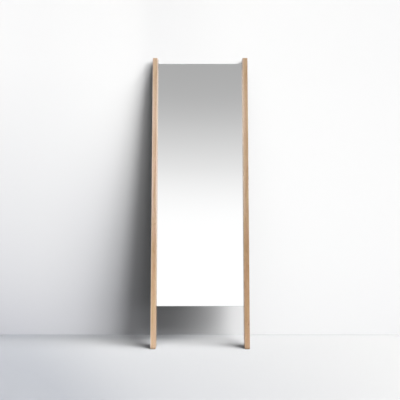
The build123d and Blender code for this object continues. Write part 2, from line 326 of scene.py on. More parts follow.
class RoomSettings(bpy.types.PropertyGroup):
    eye_height: FloatProperty(
        name="Camera height",
        description="Height of the lens above the floor",
        default=0.992,
        min=0.1,
        max=3.0,
        unit="LENGTH",
    )
    eye_distance: FloatProperty(
        name="Camera distance",
        description="Distance of the lens in front of the middle of the feet",
        default=2.785,
        min=1.0,
        max=10.0,
        unit="LENGTH",
    )
    eye_side: FloatProperty(
        name="Camera offset",
        description="Distance of the lens to the right of the mirror's middle",
        default=-0.0009,
        min=-1.0,
        max=1.0,
        unit="LENGTH",
    )
    eye_pitch: FloatProperty(
        name="Camera pitch",
        description="How far the camera looks down",
        default=math.radians(2.01),
        min=-0.5,
        max=0.5,
        subtype="ANGLE",
    )
    lens: FloatProperty(
        name="Lens",
        description="Focal length on a 36 mm sensor",
        default=40.2,
        min=15.0,
        max=200.0,
        unit="CAMERA",
    )
    white: colour_setting("Background", "What the camera sees past the room", (0.965, 0.967, 0.972))
    daylight: colour_setting("Daylight", "Light from all round", (0.050, 0.0505, 0.051))


class MirrorSettings(bpy.types.PropertyGroup):
    oak: PointerProperty(type=OakSettings, name="Oak", description="Posts and rails")
    pane: PointerProperty(type=PaneSettings, name="Pane", description="Glass and backing")
    fitting: PointerProperty(
        type=FittingSettings, name="Fittings", description="Metal, rubber, tape"
    )
    room: PointerProperty(type=RoomSettings, name="Room", description="Wall, floor, camera")


def settings():
    return bpy.context.scene.floor_mirror


# -------------------------------------------------------------------------- oak


# How fine each feature of the grain is, in cells per metre across, through and
# along the plank.
WANDER_CELLS = (5.0, 5.0, 1.7)
RIPPLE_CELLS = (60.0, 60.0, 9.0)
STREAK_CELLS = (135.0, 135.0, 1.7)
BAND_CELLS = (66.0, 66.0, 4.2)
HUE_CELLS = (90.0, 90.0, 5.1)
BLUSH_CELLS = (75.0, 75.0, 8.0)
MARK_CELLS = (120.0, 120.0, 17.0)
FIBRE_CELLS = (760.0, 760.0, 16.0)
CLOUD_CELLS = (22.0, 22.0, 3.4)
PORE_CELLS = (1500.0, 1500.0, 58.0)
FLECK_CELLS = (240.0, 70.0, 34.0)
RUB_CELLS = (90.0, 90.0, 14.0)
END_PORE_CELLS = (1500.0, 1500.0, 30.0)

WANDER = 0.034  # metres that the rings bend along a plank
RIPPLE = 0.0026  # metres of the fine waves on top of that
KNOT_OVAL = (1.0, 0.0, 0.55)  # a knot is longer along the plank than across
KNOT_REACH = 5.0  # the grain flows round a knot out to this many radii
KNOT_CORE = 0.35  # the share of a knot's radius that is fully dark
KNOT_PUSH = (0.9, 0.0, 0.0)
# The pale edge band is partly wear and partly a painted highlight along the arrises.
EDGE_START = 0.0040  # the rubbed band starts this far from an edge
EDGE_FULL = 0.0006
HIGHLIGHT_SHARE = 0.62
RELIEF_DEPTH = 0.00018


def worn_and_highlit_edges(r, grain, half):
    """1 along the plank's edges and corners, patchily, and 0 elsewhere."""
    near = []
    for offset, reach in zip(r.split(grain), half):
        out = r.maths("ABSOLUTE", offset)
        near.append(r.spread(out, reach - EDGE_START, reach - EDGE_FULL))
    rub = r.noise(grain, detail=2.0, stretch=RUB_CELLS)
    long_edge = r.maths("MULTIPLY", near[0], near[1])
    end_edge = r.maths("MULTIPLY", r.maths("MAXIMUM", near[0], near[1]), near[2])
    wear_and_highlight = r.maths("MAXIMUM", long_edge, end_edge)
    return r.maths("MULTIPLY", wear_and_highlight, r.spread(rub, 0.25, 0.7, 0.35, 1.0))


def oak(name, plank, pith, tones, knots=(), sap_coloured_highlight=()):
    """Oiled oak for one plank.

    pith is where the tree's centre ran beside the plank, tones are (place
    along the plank from 0 to 1, colour) pairs that the wood is multiplied by,
    knots are (across, along, radius) for small knots through its depth, and
    sap is (side, width, start, full) for a painted highlight in a pale sapwood
    colour at the low (-1) or high (1) side, which comes in between the places
    start and full.
    """
    look = settings().oak
    r = Recipe(name)
    grain = r.turned(plank.turn, plank.shift)
    half_x, _, half_z = plank.half
    across, _, length = r.split(grain)

    # The trunk wandered as it grew, so the rings bend along the plank.
    wander = r.drift(grain, WANDER_CELLS, WANDER, detail=1.0)
    ripple = r.drift(grain, RIPPLE_CELLS, RIPPLE, detail=2.0)
    bent = r.vector("ADD", r.vector("ADD", grain, wander), ripple)

    # The grain flows round each knot.
    knot = 0.0
    for side, along, radius in knots:
        apart = r.vector("SUBTRACT", grain, (side, 0.0, along))
        oval = r.vector("LENGTH", r.vector("MULTIPLY", apart, KNOT_OVAL))
        push = r.spread(oval, radius, radius * KNOT_REACH, 1.0, 0.0)
        away = r.vector("MULTIPLY", apart, KNOT_PUSH)
        bent = r.vector("SUBTRACT", bent, r.scaled(away, push))
        core = r.spread(oval, radius * KNOT_CORE, radius, 1.0, 0.0)
        knot = r.maths("MAXIMUM", knot, core)

    from_pith = r.vector("SUBTRACT", bent, (*pith, 0.0))
    from_pith = r.vector("MULTIPLY", from_pith, (1.0, 1.0, 0.0))
    years = r.maths("DIVIDE", r.vector("LENGTH", from_pith), look.ring)
    season = r.maths("FRACT", years)
    weather = r.node(
        "ShaderNodeTexWhiteNoise", {"W": r.maths("FLOOR", years)}, noise_dimensions="1D"
    ).outputs["Value"]

    early = r.maths(
        "MULTIPLY", r.spread(season, 0.0, 0.06), r.spread(season, 0.12, 0.55, 1.0, 0.0)
    )
    early = r.maths("MULTIPLY", early, r.spread(weather, 0.0, 1.0, 0.35, 1.0))

    streak = r.patches(bent, STREAK_CELLS, 0.32, 0.68, detail=2.0, rough=0.6)
    band = r.patches(bent, BAND_CELLS, 0.36, 0.64)
    hue = r.patches(bent, HUE_CELLS, 0.36, 0.64)
    blush = r.patches(bent, BLUSH_CELLS, 0.50, 0.68)
    mark = r.patches(bent, MARK_CELLS, 0.56, 0.72)
    fibre = r.patches(grain, FIBRE_CELLS, 0.28, 0.72, detail=3.0, rough=0.6)
    cloud = r.patches(grain, CLOUD_CELLS, 0.3, 0.7)

    # Open pores: short dark dashes, thick in the early wood.
    dash = r.noise(bent, detail=1.0, rough=0.4, stretch=PORE_CELLS)
    need = r.spread(early, 0.0, 1.0, 0.690, 0.560, smooth=False)
    pores = r.spread(r.maths("SUBTRACT", dash, need), 0.0, 0.05)

    # Ray fleck shows as small pale flakes across the grain.
    fleck = r.patches(grain, FLECK_CELLS, 0.66, 0.74, detail=0.0)

    end = r.maths("ABSOLUTE", r.vector("DOT_PRODUCT", r.facing, tuple(plank.along)))
    end = r.spread(end, 0.55, 0.9)
    wear_and_highlight = worn_and_highlit_edges(r, grain, plank.half)

    warmth = r.weighted(
        (streak, 0.28), (early, 0.30), (band, 0.34), (mark, 0.30), (fibre, 0.12), (cloud, 0.10)
    )
    colour = r.mix(hue, tuple(look.pale), tuple(look.honey))
    colour = r.stained(colour, blush, 0.7, look.rosy)
    colour = r.mix(warmth, colour, tuple(look.warm))
    place = r.maths("DIVIDE", r.maths("ADD", length, half_z), 2.0 * half_z)
    # Painted highlight in a pale sapwood colour along one side, fading in up the plank.
    for side, width, start, full in sap_coloured_highlight:
        out = r.maths("MULTIPLY_ADD", across, side, r.maths("MULTIPLY", cloud, 0.002))
        highlight_band = r.spread(out, half_x - width, half_x - width * 0.3)
        highlight_band = r.maths("MULTIPLY", highlight_band, r.spread(place, start, full, 0.0, HIGHLIGHT_SHARE))
        colour = r.mix(highlight_band, colour, tuple(look.sap_coloured_highlight))
    colour = r.stained(colour, fleck, 0.20, look.edge)
    colour = r.stained(colour, pores, 0.60, look.pore)
    if knots:
        colour = r.stained(colour, knot, 0.80, look.pore)

    # End grain drinks more oil and shows the rings as arcs of dots.
    dots = r.spread(r.cells(grain, END_PORE_CELLS), 0.16, 0.34, 1.0, 0.0)
    dots = r.maths("MULTIPLY", dots, r.spread(early, 0.1, 0.8, 0.25, 1.0))
    end_colour = r.mix(r.maths("MULTIPLY_ADD", early, 0.35, 0.30), colour, tuple(look.warm))
    end_colour = r.stained(end_colour, dots, 0.8, look.pore)
    colour = r.mix(end, colour, r.lighter(end_colour, 0.80))
    # Pale eased edges: partly wear, partly a painted highlight along the arrises.
    colour = r.stained(colour, wear_and_highlight, 0.50, look.edge)

    # A ramp holds no colour above 1, so the tones go in halved and come out doubled.
    tone = r.ramp(place, [(at, [level * 0.5 for level in tint]) for at, tint in tones])
    tone = r.vector("MULTIPLY", tone, (2.0, 2.0, 2.0))
    colour = r.mix(1.0, colour, tone, blend="MULTIPLY")

    rough = r.weighted(
        (pores, 0.22), (fibre, 0.07), (wear_and_highlight, -0.08), (end, 0.14), start=look.gloss
    )
    relief = r.weighted((fibre, 0.22), (pores, -1.0), (early, -0.25))
    bumps = r.bump(relief, RELIEF_DEPTH, 0.7)
    return r.finish(colour, rough, bumps, Specular_IOR_Level=0.5)


# What each board's colour is multiplied by along it, from its foot (0) to its top (1). The
# dark first stop is painted shade on the bottom centimetre of the foot.
LEFT_POST_TONES = (
    (0.000, (0.60, 0.56, 0.50)),
    (0.007, (1.09, 1.10, 1.12)),
    (0.220, (0.92, 0.88, 0.78)),
    (0.330, (0.86, 0.83, 0.78)),
    (0.470, (0.94, 0.95, 1.01)),
    (0.620, (1.05, 1.06, 1.16)),
    (0.780, (1.04, 1.07, 1.15)),
    (0.950, (0.94, 0.95, 1.00)),
)
RIGHT_POST_TONES = (
    (0.000, (0.56, 0.52, 0.46)),
    (0.007, (0.86, 0.80, 0.75)),
    (0.200, (0.73, 0.65, 0.54)),
    (0.360, (0.69, 0.63, 0.53)),
    (0.500, (0.79, 0.77, 0.73)),
    (0.780, (0.87, 0.87, 0.87)),
    (0.950, (0.80, 0.78, 0.77)),
)
RAIL_TONES = ((0.0, (0.95, 0.92, 0.88)), (0.4, (1.04, 1.02, 1.00)), (1.0, (0.97, 0.95, 0.92)))


class MIRROR_OT_posts(bpy.types.Operator):
    """Oils the two oak posts, each with its own grain"""

    bl_idname = "floor_mirror.posts"
    bl_label = "Posts"

    def execute(self, context):
        paint(
            "left_post",
            oak(
                "oiled_oak_left_post",
                Plank("left_post", UP_THE_POST),
                (0.062, 0.150),
                LEFT_POST_TONES,
                ((0.006, -0.152, 0.0032),),
                # Painted highlight along both sides of the left post; on the inner side it fades in
                # above the foot.
                sap_coloured_highlight=((-1.0, 0.006, -1.0, 0.0), (1.0, 0.006, 0.02, 0.34)),
            ),
        )
        paint(
            "right_post",
            oak(
                "oiled_oak_right_post",
                Plank("right_post", UP_THE_POST),
                (-0.085, 0.125),
                RIGHT_POST_TONES,
                ((0.010, -0.760, 0.0038), (-0.004, 0.410, 0.0022)),
                # Painted highlight along the right post's inner side, fading in up the post.
                sap_coloured_highlight=((-1.0, 0.009, 0.30, 0.70),),
            ),
        )
        return {"FINISHED"}


class MIRROR_OT_rails(bpy.types.Operator):
    """Oils the three oak rails behind the pane"""

    bl_idname = "floor_mirror.rails"
    bl_label = "Rails"

    def execute(self, context):
        piths = ((0.034, 0.055), (-0.052, 0.080), (0.021, 0.064))
        for node, pith in zip(RAILS, piths):
            plank = Plank(node, ALONG_THE_RAIL)
            paint(node, oak("oiled_oak_" + node, plank, pith, RAIL_TONES))
        return {"FINISHED"}


# ------------------------------------------------------------ pane and backing


def silvered_glass():
    """The pane: silver in front, green glass at the edge, paint behind."""
    look = settings().pane
    r = Recipe("silvered_glass_pane")
    facing = r.vector("DOT_PRODUCT", r.facing, OUT_OF_THE_PANE)
    front = r.spread(facing, 0.90, 0.97)
    back = r.spread(facing, -0.97, -0.90, 1.0, 0.0)

    wiped = r.noise(r.where, detail=3.0, rough=0.6, stretch=(3.0, 3.0, 9.0))
    speck = r.noise(r.where, scale=140.0, detail=1.0)
    haze = r.maths("MULTIPLY", r.spread(wiped, 0.5, 0.8), 0.006)
    haze = r.maths("MULTIPLY_ADD", r.spread(speck, 0.72, 0.8), 0.010, haze)

    depth = r.noise(r.where, scale=45.0, detail=2.0)
    rim = r.lighter(tuple(look.rim), r.spread(depth, 0.3, 0.7, 0.8, 1.2))
    drag = r.noise(r.where, detail=2.0, stretch=(18.0, 60.0, 60.0))
    paint_coat = r.lighter(tuple(look.backing), r.spread(drag, 0.3, 0.7, 0.88, 1.1))

    colour = r.mix(back, rim, paint_coat)
    silver = r.lighter(tuple(look.silver), r.spread(wiped, 0.2, 0.8, 1.0, 0.996))
    colour = r.mix(front, colour, silver)
    rough = r.spread(back, 0.0, 1.0, 0.16, 0.62)
    rough = r.mix(front, rough, r.maths("ADD", haze, 0.004))
    pits = r.bump(r.maths("MULTIPLY", drag, back), 0.0001, 0.5)
    return r.finish(colour, rough, pits, Metallic=front, IOR=1.52)


THREAD_PITCH = 0.0022  # from one thread of the film's weave to the next


def safety_film():
    """A shatter film: pale, slightly glossy, with a fine square weave."""
    look = settings().pane
    r = Recipe("woven_safety_film")
    local = r.turned(UP_THE_POST, (0.0, 0.0, 0.0))
    across, _, up = r.split(local)
    threads = 2 * math.pi / THREAD_PITCH
    warp = r.maths("SINE", r.maths("MULTIPLY", across, threads))
    weft = r.maths("SINE", r.maths("MULTIPLY", up, threads))
    weave = r.spread(r.maths("MAXIMUM", warp, weft), 0.55, 0.95)
    cloud = r.noise(local, scale=9.0, detail=3.0)
    colour = r.lighter(tuple(look.film), r.spread(cloud, 0.3, 0.7, 0.92, 1.06))
    colour = r.lighter(colour, r.spread(weave, 0.0, 1.0, 1.0, 0.86))
    rough = r.spread(weave, 0.0, 1.0, 0.34, 0.52)
    return r.finish(colour, rough, r.bump(weave, 0.00006, 0.6))


LOOSE_FIBRE = (0.47, 0.34, 0.225)
DARK_SPECK = (0.10, 0.06, 0.035)


def fibreboard():
    """Pressed board: matted fibres, a few dark specks, soft burnished edges."""
    look = settings().pane
    r = Recipe("pressed_fibreboard")
    local = r.turned(UP_THE_POST, (0.0, 0.0, 0.0))
    mat = r.noise(local, scale=420.0, detail=4.0, rough=0.65)
    warped = r.vector("ADD", local, r.scaled(r.noise(local, scale=60.0, out=1), 0.02))
    hair = r.noise(warped, detail=3.0, rough=0.6, stretch=(190.0, 190.0, 700.0))
    hair_b = r.noise(warped, detail=3.0, rough=0.6, stretch=(700.0, 190.0, 190.0))
    fibres = r.maths("MAXIMUM", r.spread(hair, 0.5, 0.72), r.spread(hair_b, 0.5, 0.72))
    cloud = r.noise(local, scale=7.0, detail=3.0)
    speck = r.spread(r.noise(local, scale=900.0, detail=1.0), 0.70, 0.76)
    tone = r.spread(mat, 0.3, 0.7, 0.86, 1.12)
    tone = r.maths("MULTIPLY", tone, r.spread(cloud, 0.3, 0.7, 0.92, 1.08))
    colour = r.lighter(tuple(look.board), tone)
    colour = r.stained(colour, fibres, 0.35, LOOSE_FIBRE)
    colour = r.stained(colour, speck, 0.5, DARK_SPECK)
    rough = r.spread(mat, 0.3, 0.7, 0.58, 0.76)
    relief = r.maths("MULTIPLY_ADD", fibres, 0.6, mat)
    return r.finish(colour, rough, r.bump(relief, 0.00014, 0.6))


def foam_tape():
    """White closed-cell foam with tiny bubbles."""
    r = Recipe("closed_cell_foam_tape")
    bubble = r.cells(r.where, (1700.0, 1700.0, 1700.0))
    bubble = r.spread(bubble, 0.15, 0.6)
    soot = r.noise(r.where, scale=60.0, detail=2.0)
    tone = r.maths(
        "MULTIPLY", r.spread(bubble, 0.0, 1.0, 1.0, 0.86), r.spread(soot, 0.3, 0.7, 0.93, 1.04)
    )
    colour = r.lighter(tuple(settings().fitting.tape), tone)
    return r.finish(colour, r.spread(bubble, 0.0, 1.0, 0.7, 0.9), r.bump(bubble, 0.0001, 0.7))


class MIRROR_OT_pane(bpy.types.Operator):
    """Silvers the pane and finishes its film and foam tapes"""

    bl_idname = "floor_mirror.pane"
    bl_label = "Pane, film and tapes"

    def execute(self, context):
        paint("mirror_glass", silvered_glass())
        paint("safety_film", safety_film())
        paint("mounting_tapes", foam_tape())
        return {"FINISHED"}


class MIRROR_OT_board(bpy.types.Operator):
    """Finishes the pressed backing board"""

    bl_idname = "floor_mirror.board"
    bl_label = "Backing board"

    def execute(self, context):
        paint("backing_board", fibreboard())
        return {"FINISHED"}


# --------------------------------------------------------------------- fittings


DULLED_ZINC = (0.60, 0.56, 0.44)
DUST = (0.42, 0.38, 0.34)
DUST_SHARE = 0.15


def zinc_plate(name, brush):
    """Bright zinc plate with brushed lines and yellowish dull spots."""
    r = Recipe(name)
    lines = r.noise(r.where, detail=3.0, rough=0.6, stretch=brush)
    patch = r.noise(r.where, scale=180.0, detail=3.0)
    stain = r.spread(patch, 0.52, 0.75)
    tone = r.spread(lines, 0.3, 0.7, 0.90, 1.08)
    colour = r.lighter(tuple(settings().fitting.zinc), tone)
    colour = r.stained(colour, stain, 0.25, DULLED_ZINC)
    rough = r.maths("MULTIPLY_ADD", stain, 0.16, r.spread(lines, 0.3, 0.7, 0.24, 0.36))
    return r.finish(colour, rough, r.bump(lines, 0.00004, 0.5), Metallic=1.0)


def cast_zinc():
    """Grainy cast zinc, dull in the hollows."""
    r = Recipe("cast_zinc_cams")
    grain = r.noise(r.where, scale=1400.0, detail=3.0, rough=0.6)
    blotch = r.noise(r.where, scale=240.0, detail=2.0)
    tone = r.maths(
        "MULTIPLY", r.spread(grain, 0.3, 0.7, 0.85, 1.1), r.spread(blotch, 0.3, 0.7, 0.9, 1.08)
    )
    colour = r.lighter(tuple(settings().fitting.cast), tone)
    return r.finish(
        colour, r.spread(blotch, 0.3, 0.7, 0.40, 0.56), r.bump(grain, 0.00005, 0.6), Metallic=0.95
    )


def birch():
    """Turned birch dowels with fine pores and pressed flutes."""
    r = Recipe("turned_birch_dowels")
    fibre = r.noise(r.where, detail=3.0, rough=0.6, stretch=(60.0, 1400.0, 1400.0))
    cloud = r.noise(r.where, scale=70.0, detail=1.0)
    tone = r.maths(
        "MULTIPLY", r.spread(fibre, 0.3, 0.7, 0.84, 1.08), r.spread(cloud, 0.3, 0.7, 0.94, 1.05)
    )
    colour = r.lighter(tuple(settings().fitting.dowel), tone)
    return r.finish(colour, r.spread(fibre, 0.3, 0.7, 0.5, 0.66), r.bump(fibre, 0.00006, 0.6))


def rubber(name, tint):
    """Moulded rubber: a fine orange-peel skin with some dust in patches."""
    r = Recipe(name)
    skin = r.noise(r.where, scale=1900.0, detail=2.0)
    scuff = r.noise(r.where, scale=120.0, detail=4.0, rough=0.65)
    grime = r.maths("MULTIPLY", r.spread(scuff, 0.45, 0.75), DUST_SHARE)
    colour = r.lighter(tint, r.spread(skin, 0.3, 0.7, 0.88, 1.12))
    colour = r.mix(grime, colour, DUST)
    rough = r.maths("MULTIPLY_ADD", grime, 0.4, r.spread(skin, 0.3, 0.7, 0.52, 0.68))
    return r.finish(colour, rough, r.bump(skin, 0.00008, 0.6))


class MIRROR_OT_metal(bpy.types.Operator):
    """Plates the screws, bolts, cam locks and hanging plates"""

    bl_idname = "floor_mirror.metal"
    bl_label = "Screws, cams and plates"

    def execute(self, context):
        turned = zinc_plate("zinc_plated_screws", (900.0, 1500.0, 900.0))
        brushed = zinc_plate("zinc_plated_hanging_plates", (45.0, 900.0, 1500.0))
        for node in SCREWS:
            paint(node, turned)
        for node in PLATES:
            paint(node, brushed)
        paint("cam_locks", cast_zinc())
        return {"FINISHED"}


class MIRROR_OT_dowels(bpy.types.Operator):
    """Finishes the birch dowels in the rail ends"""

    bl_idname = "floor_mirror.dowels"
    bl_label = "Dowels"

    def execute(self, context):
        paint("rail_dowels", birch())
        return {"FINISHED"}


class MIRROR_OT_rubber(bpy.types.Operator):
    """Finishes the foot pads, wall bumpers and setting blocks"""

    bl_idname = "floor_mirror.rubber"
    bl_label = "Pads, bumpers and blocks"

    def execute(self, context):
        look = settings().fitting
        pads = rubber("moulded_rubber_pads", tuple(look.rubber))
        for node in FOOT_PADS + BUMPERS:
            paint(node, pads)
        paint("setting_blocks", rubber("moulded_rubber_blocks", tuple(look.block)))
        return {"FINISHED"}


# -------------------------------------------------------------------- the room


# The wall and the floor are each lit by their own window, broad and mostly high
# on the right, made of far lamps (azimuth, elevation, level) and near lamps
# (place, radius, level).
WALL_FAR = (
    (50.0, 10.0, 0.05),
    (74.0, 45.0, 0.75),
    (68.0, 68.0, 1.50),
)
WALL_NEAR = (
    ((0.15, -0.70, 2.25), 0.30, 0.24),
    ((-0.30, -0.25, 2.40), 0.30, 0.20),
    ((1.30, -1.70, 2.20), 0.45, 0.20),
    ((1.45, -1.05, 2.70), 0.45, 0.32),
)
FLOOR_FAR = (
    (45.0, 45.0, 0.15),
    (75.0, 45.0, 0.15),
)
FLOOR_NEAR = (
    ((-0.70, -1.30, 0.95), 0.30, 0.11),
    ((1.10, -0.75, 1.70), 0.30, 0.22),
    ((2.00, -0.40, 2.40), 0.60, 0.40),
    ((1.05, -1.45, 2.70), 0.45, 0.16),
)
SOFTNESS = 20.0  # degrees that a far lamp spans
WINDOW_LEVEL = 1.4  # the lamps are this much above what white paint would need
NEAR_LAMP_YIELD = 0.985  # measured share of its level that a near lamp gives

ROOM_REACH = 6.0
WALL_GAP = 0.0002  # between the wall bumpers and the wall
INTO_THE_ROOM = (0.0, -1.0, 0.0)
UPWARD = (0.0, 0.0, 1.0)

# Paint of the wall left and right of the mirror, painted shade that falls off towards
# the lower left: level in the middle, change per metre sideways, how that changes per
# metre up, and change at the floor.
WALL_LEFT = (0.96, 0.137, -0.08, -0.195)
WALL_RIGHT = (1.003, -0.004, -0.01, -0.08)
WALL_FADE_REACH = 2.2  # the changes stop this far to either side
WALL_FADE_TOP = 1.8  # the sideways change stays the same above this
SIDES_MEET = 0.3  # left turns into right within this of the middle
# Painted shade: a dark line where the wall meets the floor.
CREASE_SHADE_HEIGHT = 0.007  # height of the dark line at the wall's foot

# Paint of the floor, painted shade that falls off towards the left: level in the
# middle, change per metre to the right, per metre towards the wall, and per square
# metre of both.
FLOOR_TILT = (0.84, 0.08, 0.09, -0.09)
FLOOR_LOWEST = 0.59
FLOOR_FADE = (3.2, 5.2)  # the floor turns clear this far from the mirror

# What polished surfaces see, lowest first: (sine of the height angle, level).
CEILING = ((0.14, 1.0), (0.20, 0.93), (0.26, 0.78), (0.34, 0.575), (0.41, 0.43), (0.50, 0.395))
MIRRORED_LEVEL = 1.05

SENSOR_WIDTH = 36.0
VIEW_REACH = 60.0


def plane(name, corners):
    mesh = bpy.data.meshes.new(name)
    mesh.from_pydata(corners, [], [(0, 1, 2, 3)])
    obj = bpy.data.objects.new(name, mesh)
    bpy.context.scene.collection.objects.link(obj)
    obj.visible_diffuse = False
    return obj


def tinted(r, level, full, red, blue):
    """A level of grey that cools as it falls below full, so the painted shade is bluer."""
    drop = r.maths("SUBTRACT", full, level)
    node = r.node("ShaderNodeCombineColor")
    r.feed(node.inputs["Red"], r.maths("MULTIPLY_ADD", drop, red, level))
    r.feed(node.inputs["Green"], level)
    r.feed(node.inputs["Blue"], r.maths("MULTIPLY_ADD", drop, blue, level))
    return node.outputs[0]


def stage_finish(r, colour, hidden):
    """Matt paint that turns clear where hidden is 1."""
    matt = r.node("ShaderNodeBsdfDiffuse", {"Color": colour, "Roughness": 0.0})
    clear = r.node("ShaderNodeBsdfTransparent")
    swap = r.node("ShaderNodeMixShader", {0: hidden})
    r.tree.links.new(matt.outputs[0], swap.inputs[1])
    r.tree.links.new(clear.outputs[0], swap.inputs[2])
    r.tree.links.new(swap.outputs[0], r.out.inputs["Surface"])
    return r.material


def open_light(r, facing, suns, lamps):
    """The light on a patch that nothing shades, which the paint evens out."""
    facing = Vector(facing)
    total = settings().room.daylight[1]
    for azimuth, elevation, level in suns:
        total += WINDOW_LEVEL * level * toward(azimuth, elevation).dot(facing)
    for place, _, level in lamps:
        ray = r.vector("NORMALIZE", r.vector("SUBTRACT", place, r.where))
        slant = r.vector("DOT_PRODUCT", ray, tuple(facing))
        total = r.maths("MULTIPLY_ADD", slant, WINDOW_LEVEL * level, total)
    return total


def wall_half(r, x, z_low, foot, half):
    """Paint level of one half of the wall, from its row of changes."""
    middle, sideways, upward, at_floor = half
    slope = r.maths("MULTIPLY_ADD", z_low, upward, sideways)
    level = r.maths("MULTIPLY_ADD", slope, x, middle)
    return r.maths("MULTIPLY_ADD", foot, at_floor, level)


def wall_paint():
    """White wall paint with painted shade that greys it softly towards the floor on the left."""
    r = Recipe("white_wall_paint")
    x, _, z = r.split(r.where)
    x = r.clamped(x, -WALL_FADE_REACH, WALL_FADE_REACH)
    z = r.maths("MAXIMUM", z, 0.0)
    foot = r.maths("EXPONENT", r.maths("MULTIPLY", z, -2.0))
    z_low = r.maths("MINIMUM", z, WALL_FADE_TOP)
    left = wall_half(r, x, z_low, foot, WALL_LEFT)
    right = wall_half(r, x, z_low, foot, WALL_RIGHT)
    side = r.spread(x, -SIDES_MEET, SIDES_MEET)
    level = r.maths("MULTIPLY_ADD", r.maths("SUBTRACT", right, left), side, left)
    level = r.maths("MINIMUM", level, 1.0)

    # Painted shadow and light close on the left of the mirror: the paint is greyer low
    # down, where the widest part of the mirror's shadow falls, and a little paler high up.
    comes_in = r.spread(x, -1.10, -0.50)
    goes_out = r.spread(x, -0.44, -0.30, 1.0, 0.0)
    beside = r.maths("MULTIPLY", comes_in, goes_out)
    beside = r.maths("MULTIPLY", beside, r.spread(z, -0.05, 0.25))
    change = r.maths("MULTIPLY", beside, r.spread(z, 0.45, 1.55, -0.10, 0.035))
    level = r.maths("MULTIPLY_ADD", level, change, level)

    # Painted shade in the crease at the wall's foot, a little deeper on the left.
    crease_shade = r.spread(z, 0.0, CREASE_SHADE_HEIGHT, r.spread(side, 0.0, 1.0, 0.95, 0.92), 1.0)
    level = r.maths("MULTIPLY", level, crease_shade)
    colour = tinted(r, level, full=0.975, red=-0.02, blue=0.11)
    light = open_light(r, INTO_THE_ROOM, WALL_FAR, WALL_NEAR)
    behind = r.node("ShaderNodeNewGeometry").outputs["Backfacing"]
    return stage_finish(r, r.scaled(colour, r.maths("DIVIDE", 1.0, light)), behind)


def floor_paint():
    """Pale floor with painted shade that greys and cools it to the left, and fades out far away."""
    r = Recipe("pale_floor_paint")
    x, y, _ = r.split(r.where)
    from_wall = r.maths("ABSOLUTE", r.maths("SUBTRACT", y, CAD_BOX[1][1] + WALL_GAP))
    x = r.clamped(x, -2.0, 1.2)
    y = r.clamped(y, -1.2, 0.4)
    middle, sideways, inward, both = FLOOR_TILT
    level = r.maths("MULTIPLY_ADD", x, sideways, middle)
    level = r.maths("MULTIPLY_ADD", y, inward, level)
    level = r.maths("MULTIPLY_ADD", r.maths("MULTIPLY", x, y), both, level)

    # Painted shade: the corner at the front left is darker still.
    corner = r.maths("SUBTRACT", r.maths("MULTIPLY", y, -0.55), x)
    level = r.maths("MULTIPLY_ADD", r.spread(corner, 0.55, 1.15), -0.10, level)
    level = r.maths("MAXIMUM", level, FLOOR_LOWEST)

    # Painted shade on the floor along the wall, wider and deeper on the left.
    side = r.spread(x, -SIDES_MEET, SIDES_MEET)
    shade_width = r.spread(side, 0.0, 1.0, 0.150, 0.050)
    shade = r.spread(from_wall, 0.0, shade_width, r.spread(side, 0.0, 1.0, 0.86, 0.94), 1.0)
    level = r.maths("MULTIPLY", level, shade)
    colour = tinted(r, level, full=0.93, red=-0.055, blue=0.13)
    light = open_light(r, UPWARD, FLOOR_FAR, FLOOR_NEAR)
    colour = r.scaled(colour, r.maths("DIVIDE", 1.0, light))
    return stage_finish(r, colour, r.spread(r.vector("LENGTH", r.where), *FLOOR_FADE))


def surroundings():
    """White to the camera, dim daylight to the room, and for polished
    surfaces a bright room with a darker ceiling."""
    look = settings().room
    world = bpy.data.worlds.new("white_room")
    bpy.context.scene.world = world
    world.use_nodes = True
    tree = world.node_tree
    tree.nodes.clear()

    def background(colour, strength=1.0):
        node = tree.nodes.new("ShaderNodeBackground")
        node.inputs["Strength"].default_value = strength
        if isinstance(colour, bpy.types.NodeSocket):
            tree.links.new(colour, node.inputs["Color"])
        else:
            node.inputs["Color"].default_value = (*colour, 1.0)
        return node.outputs[0]

    def choose(factor, off, on):
        node = tree.nodes.new("ShaderNodeMixShader")
        tree.links.new(factor, node.inputs[0])
        tree.links.new(off, node.inputs[1])
        tree.links.new(on, node.inputs[2])
        return node.outputs[0]

    direction = tree.nodes.new("ShaderNodeTexCoord").outputs["Generated"]
    height = tree.nodes.new("ShaderNodeSeparateXYZ")
    tree.links.new(direction, height.inputs[0])
    ceiling = tree.nodes.new("ShaderNodeValToRGB")
    tree.links.new(height.outputs["Z"], ceiling.inputs["Fac"])
    set_stops(ceiling.color_ramp, "B_SPLINE", [(place, [level] * 3) for place, level in CEILING])

    path = tree.nodes.new("ShaderNodeLightPath")
    seen = background(tuple(look.white))
    mirrored = background(ceiling.outputs["Color"], MIRRORED_LEVEL)
    shared = background(tuple(look.daylight))
    surface = choose(path.outputs["Is Glossy Ray"], shared, mirrored)
    surface = choose(path.outputs["Is Transmission Ray"], surface, mirrored)
    surface = choose(path.outputs["Is Camera Ray"], surface, seen)
    output = tree.nodes.new("ShaderNodeOutputWorld")
    tree.links.new(surface, output.inputs["Surface"])


def toward(azimuth, elevation):
    """Direction to a lamp: azimuth 0 is in front of the mirror, 90 its right."""
    a, e = math.radians(azimuth), math.radians(elevation)
    return Vector((math.cos(e) * math.sin(a), -math.cos(e) * math.cos(a), math.sin(e)))


def hang(name, data, lit, shading):
    """Adds a lamp that lights only what is in lit, shaded only by shading."""
    obj = bpy.data.objects.new(name, data)
    bpy.context.scene.collection.objects.link(obj)
    obj.light_linking.receiver_collection = lit
    obj.light_linking.blocker_collection = shading
    return obj


def lamp(name, azimuth, elevation, angle, level, lit, shading):
    """A broad soft lamp far away."""
    data = bpy.data.lights.new(name, "SUN")
    data.energy = math.pi * level
    data.angle = math.radians(angle)
    obj = hang(name, data, lit, shading)
    obj.rotation_euler = toward(azimuth, elevation).to_track_quat("Z", "Y").to_euler()
    return obj


